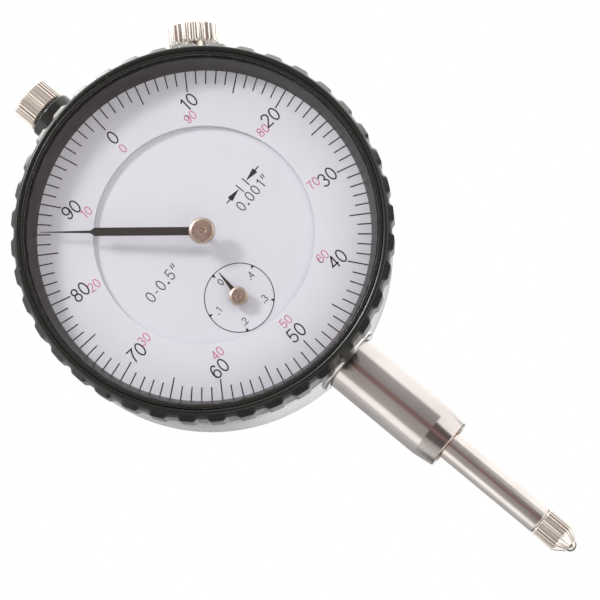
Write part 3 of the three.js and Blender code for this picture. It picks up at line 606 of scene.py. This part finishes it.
# Rows of points around the lug, from its rim over the left face and through the hole to the right face.
# Each is (distance in from the face, how far the outline is drawn in, what is added to the hole's radius),
# and None in the last place means a row on the outline.
ROUND, CHAMFER = 0.35, 0.25
LUG_STEPS = 96
half_rows = [(ROUND, 0, None), (0.1, 0.1, None), (0, ROUND, None), (0, 0, CHAMFER), (CHAMFER, 0, 0)]
lug_rows = [(depth - LUG_HALF, inset, more) for depth, inset, more in half_rows]
lug_rows += [(LUG_HALF - depth, inset, more) for depth, inset, more in reversed(half_rows)]
rows = []
for x, inset, more in lug_rows:
    row = []
    for t in even(LUG_STEPS):
        if more is None:
            y, z = lug_edge(t, inset)
        else:
            y, z = LUG_Y + (HOLE_R + more) * math.cos(t), (HOLE_R + more) * math.sin(t)
        row.append(bm.verts.new(place(x, y, z)))
    rows.append(row)
for one, two in zip(rows, rows[1:] + rows[:1]):
    for i in range(LUG_STEPS):
        j = (i + 1) % LUG_STEPS
        bm.faces.new((one[i], one[j], two[j], two[i]))
piece("lug_back", bm, case_chrome, "case", ["lug_back_cover"])

COVER_SCREW_R = 25.9
for k in range(4):
    turn = math.radians(45 + 90 * k)
    x, z = COVER_SCREW_R * math.cos(turn), COVER_SCREW_R * math.sin(turn)
    screw = turned(f"cover_screw_{k + 1}", [
        (0, 10.1), (1.0, 10.1, 0.3), (1.28, 9.9, 0.15), (1.3, 9.43, 0.05), (0.65, 9.43), (0.65, 4), (0, 4),
    ], screw_steel, "case", [f"back_cover_screw_{k + 1}"],
        at=(x, z), segments=48, closed=False)
    slot = bmesh.new()
    block(slot, (x - 0.16, x + 0.16), (9.8, 11), (z - 2, z + 2))
    carve(screw, slot)


# ---------------------------------------------------------------- stem, bushes, spindle, contact

turned("stem_tube", [
    (2.75, -24.8), (4.7625, -24.8), (4.7625, -47.3, 1.2), (4.3, -50.75, 0.12), (4.15, -50.9, 0.1),
    (3.32, -50.9, 0.06), (3.32, -44.9), (2.75, -44.9),
], satin_steel, "case", ["stem"], axis="Z", segments=128)
turned("stem_end_bush", [
    (2.46, -50.95, 0.1), (3.25, -50.95, 0.06), (3.25, -45), (2.46, -45),
], bush_bronze, "case", ["stem_bush"], axis="Z", segments=96)
turned("upper_guide_bush", [
    (2.5, 24.8), (4.05, 24.8), (4.05, 34.95, 0.4), (3.6, 35.2, 0.15), (2.5, 35.2, 0.1),
], black_collar, "case", ["upper_bush"], axis="Z", segments=96)

# The rack has the 1/32 inch pitch of the 16 tooth pinion, whose arbor carries the counter hand.
PITCH = 25.4 / 32
PINION_TEETH = 16
PRESSURE_SLOPE = math.tan(math.radians(20))
module = PITCH / math.pi
line_x = SUB_DIAL[0] + PINION_TEETH / 2 * module
rod = turned("spindle_rod", [
    (0, -65.7), (1.3, -65.7), (1.3, -70.15), (2.2, -70.15, 0.1), (2.375, -69.9, 0.1), (2.375, 35.35, 0.2),
    (1.5, 35.35), (1.5, 38.4), (0, 38.4),
], polished_steel, "spindle", ["spindle"], axis="Z", segments=96, closed=False)
rack = bmesh.new()
half = PITCH / 4 * 0.88
tip_x, root_x = line_x - 0.2, line_x + 0.31
at_tip, at_root = (half + (x - line_x) * PRESSURE_SLOPE for x in (tip_x, root_x))
FIRST_TOOTH, LAST_TOOTH, CLEAR_X = 19, -2, -4
outline = []
for k in range(FIRST_TOOTH, LAST_TOOTH - 1, -1):
    tooth = SUB_DIAL[1] - (k - 0.5) * PITCH
    low_tip, high_tip = (tip_x, tooth - at_tip), (tip_x, tooth + at_tip)
    outline += [(CLEAR_X, tooth - at_tip) if k == FIRST_TOOTH else (root_x, tooth - at_root), low_tip]
    outline += [high_tip, (CLEAR_X, tooth + at_tip) if k == LAST_TOOTH else (root_x, tooth + at_root)]
ends = [[rack.verts.new(place(x, y, z)) for x, z in outline] for y in (-3, 3)]
rack.faces.new(ends[0])
rack.faces.new(ends[1])
for i in range(len(outline)):
    j = (i + 1) % len(outline)
    rack.faces.new((ends[0][i], ends[0][j], ends[1][j], ends[1][i]))
carve(rod, rack)

STEPS_PER_RIDGE = 8
CAP_RIDGES, CONTACT_RIDGES, SCREW_RIDGES = 36, 28, 28
# The lifting cap wears the lighter copy of the nickel plate, whose extra brightness is painted light.
turned("lifting_cap_knob", [
    (0, 39.6), (3.2, 39.6, 0.12), (3.42, 39.5, 0.1), (3.7, 39.25, 0.1), (3.7, 35.65, 0.1), (3.45, 35.4, 0.1),
    (1.58, 35.4), (1.58, 38.6), (0, 38.6),
], nickel_painted_lighter, "spindle", ["lifting_cap"], axis="Z",
    angles=even(CAP_RIDGES * STEPS_PER_RIDGE), shape=knurl(CAP_RIDGES, 3.7, 0.2, 0.25),
    closed=False, sharp=25)

turned("contact_point_body", [
    (0, -66), (1.2, -66), (1.2, -70.25), (2.38, -70.2, 0.05), (2.5, -70.35, 0.05), (2.5, -74.2, 0.1),
    (2.36, -74.5, 0.25), (1.27, -76.08, 0.06), (1.08, -76.1), (1.08, -75), (0, -75),
], nickel, "spindle", ["contact_point"], axis="Z",
    angles=even(CONTACT_RIDGES * STEPS_PER_RIDGE), shape=knurl(CONTACT_RIDGES, 2.5, 0.17, 0.25),
    closed=False, sharp=25)
BALL_R, BALL_Z = 1.02, -76.08
ball = [(0, BALL_Z + BALL_R)]
ball += [(BALL_R * math.sin(t), BALL_Z + BALL_R * math.cos(t)) for t in map(math.radians, range(10, 180, 10))]
ball += [(0, BALL_Z - BALL_R)]
turned("contact_ball_tip", ball, polished_steel, "spindle", ["contact_ball"],
       axis="Z", segments=48, closed=False, sharp=60)

turned("clamp_thumb_screw", [
    (0, 24.6), (1.1, 24.6, 0.15), (1.2, 24.8), (1.2, 29.65), (2, 29.65, 0.1), (2, 33.9), (3.78, 33.9, 0.1),
    (4.1, 34.2, 0.1), (4.1, 37, 0.1), (3.8, 37.3, 0.12), (3.5, 37.4, 0.1), (0, 37.4),
], nickel, "clamp_screw", ["clamp_screw"], axis="Z",
    angles=even(SCREW_RIDGES * STEPS_PER_RIDGE), shape=knurl(SCREW_RIDGES, 4.1, 0.28, 0.3),
    closed=False, turn=CLAMP_TURN, sharp=25)


# ---------------------------------------------------------------- finishes of the CAD nodes that stay

BY_SLOT = {
    "case_metal": case_chrome, "screw_steel": screw_steel, "satin_steel": satin_steel, "nickel_plate": nickel,
    "movement_brass": brass, "blued_spring": blued, "black_gloss": black_collar, "black_rubber": rubber,
    "clear_crystal": acrylic, "white_dial": dial_paint, "black_hand": black_hand,
}
slot_of = {}
for entry in frame["record"]["subparts"]:
    slot_of[entry["node"]] = entry["material_slot"]
for name, node in frame["nodes"].items():
    mat = brown_hand if name == "counter_hand" else BY_SLOT.get(slot_of.get(name), screw_steel)
    node.data.materials.clear()
    node.data.materials.append(mat)


# ---------------------------------------------------------------- floor, light and camera

floor = bmesh.new()
FLOOR_R, FLOOR_Z = 0.75, -0.22
bmesh.ops.create_circle(floor, cap_ends=True, segments=96, radius=FLOOR_R)
bmesh.ops.translate(floor, verts=floor.verts, vec=(0, 0, FLOOR_Z))
mesh = bpy.data.meshes.new("studio_floor")
floor.to_mesh(mesh)
floor.free()
pale = finish("floor_pale", rgb(236, 236, 235), rgb(231, 231, 230), rough=(0.6, 0.7), blotch=3,
              grain=(200, 200, 200), bump=0.02)
mesh.materials.append(pale)
studio_floor = bpy.data.objects.new("studio_floor", mesh)
bpy.context.scene.collection.objects.link(studio_floor)
studio_floor.visible_glossy = False


def studio_world():
    """White background. For light and reflections, a tent of soft bands around the spindle's axis with a
    dark gap in front and bright panels at both sides, and three bright patches."""
    world = bpy.data.worlds.new("studio")
    world.use_nodes = True
    nodes, links = world.node_tree.nodes, world.node_tree.links
    nodes.clear()
    way = nodes.new("ShaderNodeTexCoord").outputs["Generated"]
    split = nodes.new("ShaderNodeSeparateXYZ")
    links.new(way, split.inputs["Vector"])
    front = nodes.new("ShaderNodeMath")
    front.operation = "MULTIPLY"
    front.inputs[1].default_value = -1
    links.new(split.outputs["Y"], front.inputs[0])
    turn = nodes.new("ShaderNodeMath")
    turn.operation = "ARCTAN2"
    links.new(split.outputs["X"], turn.inputs[0])
    links.new(front.outputs["Value"], turn.inputs[1])
    share = nodes.new("ShaderNodeMapRange")
    share.inputs["From Min"].default_value = -math.pi
    share.inputs["From Max"].default_value = math.pi
    links.new(turn.outputs["Value"], share.inputs["Value"])

    def bands(stops):
        """Colours by the angle around the spindle axis, in degrees from straight in front."""
        ramp = nodes.new("ShaderNodeValToRGB")
        ends = ramp.color_ramp.elements
        for element, (angle, colour) in zip(ends, (stops[0], stops[-1])):
            element.position, element.color = (angle + 180) / 360, (*colour, 1)
        for angle, colour in stops[1:-1]:
            ends.new((angle + 180) / 360).color = (*colour, 1)
        links.new(share.outputs["Result"], ramp.inputs["Fac"])
        return ramp.outputs["Color"]

    def blend(fac, a, b):
        mix = nodes.new("ShaderNodeMix")
        mix.data_type = "RGBA"
        links.new(fac, mix.inputs["Factor"])
        links.new(a, mix.inputs["A"])
        if isinstance(b, tuple):
            mix.inputs["B"].default_value = b
        else:
            links.new(b, mix.inputs["B"])
        return mix.outputs["Result"]

    def step(value, low, high):
        ease = nodes.new("ShaderNodeMapRange")
        ease.interpolation_type = "SMOOTHSTEP"
        ease.inputs["From Min"].default_value = low
        ease.inputs["From Max"].default_value = high
        links.new(value, ease.inputs["Value"])
        return ease.outputs["Result"]

    level = bands(LEVEL_BANDS)
    lower = bands(LOWER_BANDS)
    tone = blend(step(split.outputs["Z"], *LOWER_EDGE), lower, level)
    tone = blend(step(split.outputs["Z"], *UNDER_EDGE), tone, bands(UNDER_BANDS))
    for aim, edge, core, colour in PATCHES:
        near = nodes.new("ShaderNodeVectorMath")
        near.operation = "DOT_PRODUCT"
        near.inputs[1].default_value = Vector(aim).normalized()
        links.new(way, near.inputs[0])
        tone = blend(step(near.outputs["Value"], edge, core), tone, colour)
    tent = nodes.new("ShaderNodeBackground")
    links.new(tone, tent.inputs["Color"])
    tent.inputs["Strength"].default_value = TENT
    white = nodes.new("ShaderNodeBackground")
    white.inputs["Color"].default_value = (1, 1, 1, 1)
    seen = nodes.new("ShaderNodeLightPath")
    mix = nodes.new("ShaderNodeMixShader")
    links.new(seen.outputs["Is Camera Ray"], mix.inputs["Fac"])
    links.new(tent.outputs["Background"], mix.inputs[1])
    links.new(white.outputs["Background"], mix.inputs[2])
    out = nodes.new("ShaderNodeOutputWorld")
    links.new(mix.outputs["Shader"], out.inputs["Surface"])
    bpy.context.scene.world = world


def softbox(name, aim, way, distance, size, power, tint=(1, 1, 1)):
    """Area light at a distance from aim, in the direction way, facing it."""
    light = bpy.data.lights.new(name, "AREA")
    light.shape, light.size, light.size_y = "RECTANGLE", size[0], size[1]
    light.energy, light.color = power, tint
    lamp = bpy.data.objects.new(name, light)
    bpy.context.scene.collection.objects.link(lamp)
    way = Vector(way).normalized()
    lamp.location = aim + way * distance
    lamp.rotation_euler = way.to_track_quat("Z", "Y").to_euler()
    return lamp


PAPER = (0.95, 0.95, 0.95)
DUSK = (0.22, 0.22, 0.22)
WALL = (1.15, 1.15, 1.15)
SHEET = (2.0, 2.0, 1.95)
PANEL = (1.75, 1.73, 1.7)
# Each band is (angle around the spindle axis in degrees from straight in front, colour).
LEVEL_BANDS = [
    (-180, PAPER), (-172, (0.75, 0.75, 0.75)), (-160, (0.55, 0.55, 0.55)), (-120, (0.7, 0.7, 0.7)),
    (-92, PAPER), (-84, PANEL), (-62, PANEL), (-52, (0.66, 0.62, 0.60)), (-12, (0.58, 0.54, 0.53)),
    (-6, (0.30, 0.20, 0.19)), (-3, (0.36, 0.22, 0.20)), (5, (0.42, 0.26, 0.24)), (9, (0.22, 0.15, 0.14)),
    (12, (0.46, 0.43, 0.43)), (58, (0.56, 0.54, 0.54)), (68, PANEL), (155, PANEL), (168, PAPER), (180, PAPER),
]
# In place of the level bands from about 7 degrees below the horizon.
LOWER_BANDS = [
    (-180, WALL), (-173, WALL), (-165, (0.4, 0.4, 0.4)), (-150, DUSK), (-110, DUSK), (-92, PAPER),
    (-60, (0.75, 0.72, 0.70)), (-44, (0.62, 0.58, 0.56)), (-38, (0.20, 0.17, 0.17)),
    (-8, (0.16, 0.13, 0.13)), (-3, (0.40, 0.24, 0.22)), (5, (0.42, 0.26, 0.24)), (9, (0.16, 0.12, 0.12)),
    (32, (0.18, 0.16, 0.16)), (38, PANEL), (110, PANEL), (125, DUSK), (150, DUSK), (168, WALL), (180, WALL),
]
# In place of both from about 37 degrees below it.
UNDER_BANDS = [
    (-180, DUSK), (-100, DUSK), (-80, SHEET), (-45, SHEET), (-25, (0.9, 0.85, 0.8)), (28, (0.9, 0.85, 0.8)),
    (50, SHEET), (90, SHEET), (120, DUSK), (180, DUSK),
]
# The z of a direction, between whose two values one set of bands fades into the next.
LOWER_EDGE, UNDER_EDGE = (-0.12, -0.03), (-0.42, -0.6)
TOP_WHITE = (1.5, 1.5, 1.5, 1)
GLARE = (4.4, 4.4, 4.3, 1)
SIDE = (1.6, 1.6, 1.6, 1)
# Each patch is (direction, cosine at its edge, cosine where it is full, colour).
PATCHES = [
    ((0, -0.35, 1), 0.72, 0.84, TOP_WHITE),
    ((0.13, 0.735, 0.665), 0.965, 0.993, GLARE),
    ((-0.78, 0, 0.62), 0.86, 0.94, SIDE),
]
TENT = 0.85
studio_world()
centre = place(0, RING_FACE, 0)
KEY_RISE = math.radians(38.5)
softbox("key", centre, (-0.045, -math.sin(KEY_RISE), math.cos(KEY_RISE)), 1.2, (0.22, 0.22), 7.6)
# Soft light from the reader's side that lifts the dial and leaves no reflection in the crystal.
fill = softbox("fill", centre, (0.25, -1, -0.1), 1.3, (0.9, 0.9), 4.2)
fill.visible_glossy = False

# Camera: the indicator is seen turned on its back edge so that the spindle points 40 degrees below the
# picture's right, tipped by a few degrees, with the dial 464 mm away and a little left of the middle.
ROLL = math.radians(140.05)
up_side = Vector((math.cos(ROLL), math.sin(ROLL), 0))
right_side = Vector((math.sin(ROLL), -math.cos(ROLL), 0))
laid = Matrix((
    (right_side.x, 0, up_side.x),
    (right_side.y, 0, up_side.y),
    (0, -1, 0),
)).to_4x4() @ Matrix.Translation(-centre)
tip = Vector((-8.93, -3.3, 0))
tipped = Matrix.Rotation(math.radians(tip.length), 4, tip.normalized())
view = Matrix.Translation(Vector((-15.4, 10.5, -464)) * MM) @ tipped @ laid
lens = bpy.data.cameras.new("camera")
lens.lens, lens.sensor_width = 174, 36
lens.clip_start, lens.clip_end = 0.02, 20
camera = bpy.data.objects.new("camera", lens)
bpy.context.scene.collection.objects.link(camera)
camera.matrix_world = view.inverted()
bpy.context.scene.camera = camera

bpy.context.scene.view_settings.view_transform = "Standard"
bpy.context.scene.view_settings.look = "None"
